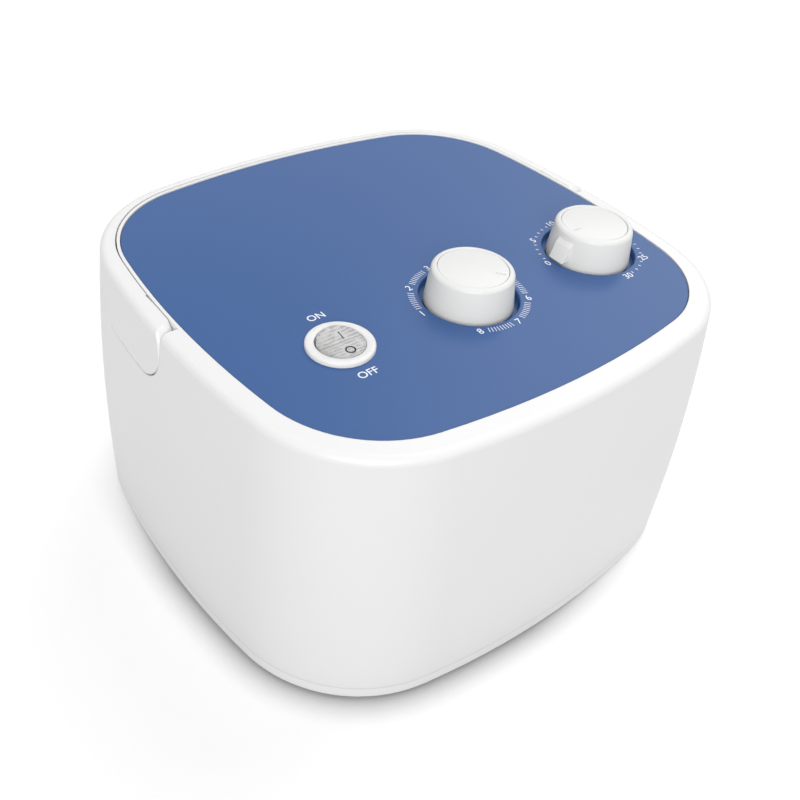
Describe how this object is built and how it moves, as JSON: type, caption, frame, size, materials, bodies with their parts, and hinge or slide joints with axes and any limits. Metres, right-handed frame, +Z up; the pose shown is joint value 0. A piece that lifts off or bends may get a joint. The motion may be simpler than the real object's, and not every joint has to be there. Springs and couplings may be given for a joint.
{
  "type": "compression therapy pump",
  "caption": "Boxy air pump for compression garments: fold-flat carry handle, pressure dial, timer knob, round rocker switch, rear air sockets, mains inlet and fuse.",
  "frame": {"origin": "centre of the footprint, on the surface that the feet stand on", "axes": "+X to the user's right, +Y to the rear wall with the connections, +Z up"},
  "size_m": [0.211, 0.2005, 0.123],
  "materials": {
    "case_white": "satin gloss",
    "base_white": "satin",
    "panel_blue": "gloss",
    "knob_white": "gloss",
    "switch_white": "gloss",
    "rocker_clear": "clear gloss",
    "pin_steel": "turned",
    "screw_steel": "plated",
    "shaft_steel": "turned",
    "nut_steel": "plated",
    "foot_rubber": "matte",
    "rear_grey": "satin",
    "black_plastic": "satin",
    "contact_brass": "plated",
    "fuse_glass": "clear",
    "socket_grey": "satin",
    "clear_tube": "smooth",
    "pump_nylon": "moulded",
    "rotor_plastic": "moulded",
    "pump_aluminium": "cast",
    "frame_steel": "zinc plated",
    "core_iron": "laminated",
    "magnet_grey": "sintered",
    "coil_copper": "enamelled wire",
    "piston_white": "low friction",
    "filter_foam": "open foam"
  },
  "bodies": {
    "pump_case": {"housing": "case_white", "base_cover": "base_white", "control_panel": "panel_blue", "switch_frame": "switch_white", "handle_pin_left": "pin_steel", "handle_pin_right": "pin_steel", "base_screws": "screw_steel", "rear_panel_screws": "screw_steel", "compressor_screws": "screw_steel", "manifold_screws": "screw_steel", "bushing_nuts": "nut_steel", "rubber_feet": "foot_rubber", "vibration_mounts": "foot_rubber", "rear_panel": "rear_grey", "mains_inlet": "black_plastic", "fuse_holder": "black_plastic", "terminal_block": "black_plastic", "inlet_pins": "contact_brass", "switch_terminals": "contact_brass", "air_outlet_left": "socket_grey", "air_outlet_right": "socket_grey", "outlet_tubes": "clear_tube", "supply_tube": "clear_tube", "delivery_tube": "clear_tube", "air_manifold": "pump_nylon", "valve_body": "pump_nylon", "collector_pipe": "pump_nylon", "motor_cradle": "pump_nylon", "timer_unit": "pump_nylon", "cylinder_left": "pump_aluminium", "cylinder_right": "pump_aluminium", "regulator_body": "pump_aluminium", "compressor_frame": "frame_steel", "valve_motor": "frame_steel", "magnet_cores": "core_iron", "magnet_coils": "coil_copper", "intake_filter": "filter_foam"},
    "handle": {"carry_handle": "case_white"},
    "pressure_control": {"pressure_knob": "knob_white", "pressure_knob_cap": "knob_white", "regulator_shaft": "shaft_steel"},
    "timer_control": {"timer_knob": "knob_white", "timer_knob_cap": "knob_white", "timer_shaft": "shaft_steel"},
    "power_rocker": {"switch_rocker": "rocker_clear"},
    "distributor_rotor": {"valve_rotor": "rotor_plastic"},
    "pump_armature": {"armature": "core_iron", "armature_magnets": "magnet_grey", "piston_left": "piston_white", "piston_right": "piston_white"},
    "fuse_carrier": {"fuse_cap": "black_plastic", "fuse": "fuse_glass"}
  },
  "joints": [
    {"name": "handle_hinge", "type": "hinge", "parent": "pump_case", "child": "handle", "pos_m": [0, 0.0155, 0.1026], "axis": [1, 0, 0], "range_deg": [0, 90]},
    {"name": "pressure_turn", "type": "hinge", "parent": "pump_case", "child": "pressure_control", "pos_m": [0.0015, -0.032, 0.1114], "axis": [0, 0, 1], "range_deg": [-68.4, 232.6]},
    {"name": "timer_turn", "type": "hinge", "parent": "pump_case", "child": "timer_control", "pos_m": [0.0635, -0.032, 0.1114], "axis": [0, 0, 1], "range_deg": [-270, 0]},
    {"name": "rocker_tilt", "type": "hinge", "parent": "pump_case", "child": "power_rocker", "pos_m": [-0.0545, -0.032, 0.1094], "axis": [-1, 0, 0], "range_deg": [0, 12]},
    {"name": "valve_turn", "type": "hinge", "parent": "pump_case", "child": "distributor_rotor", "pos_m": [0.046, 0.058, 0.036], "axis": [0, 1, 0], "continuous": true},
    {"name": "armature_slide", "type": "slide", "parent": "pump_case", "child": "pump_armature", "axis": [1, 0, 0], "range_m": [-0.0015, 0.0015], "stiffness_N_per_m": 18000},
    {"name": "fuse_cap_turn", "type": "hinge", "parent": "pump_case", "child": "fuse_carrier", "pos_m": [-0.021, 0.093, 0.036], "axis": [0, 1, 0], "range_deg": [0, 90]}
  ]
}
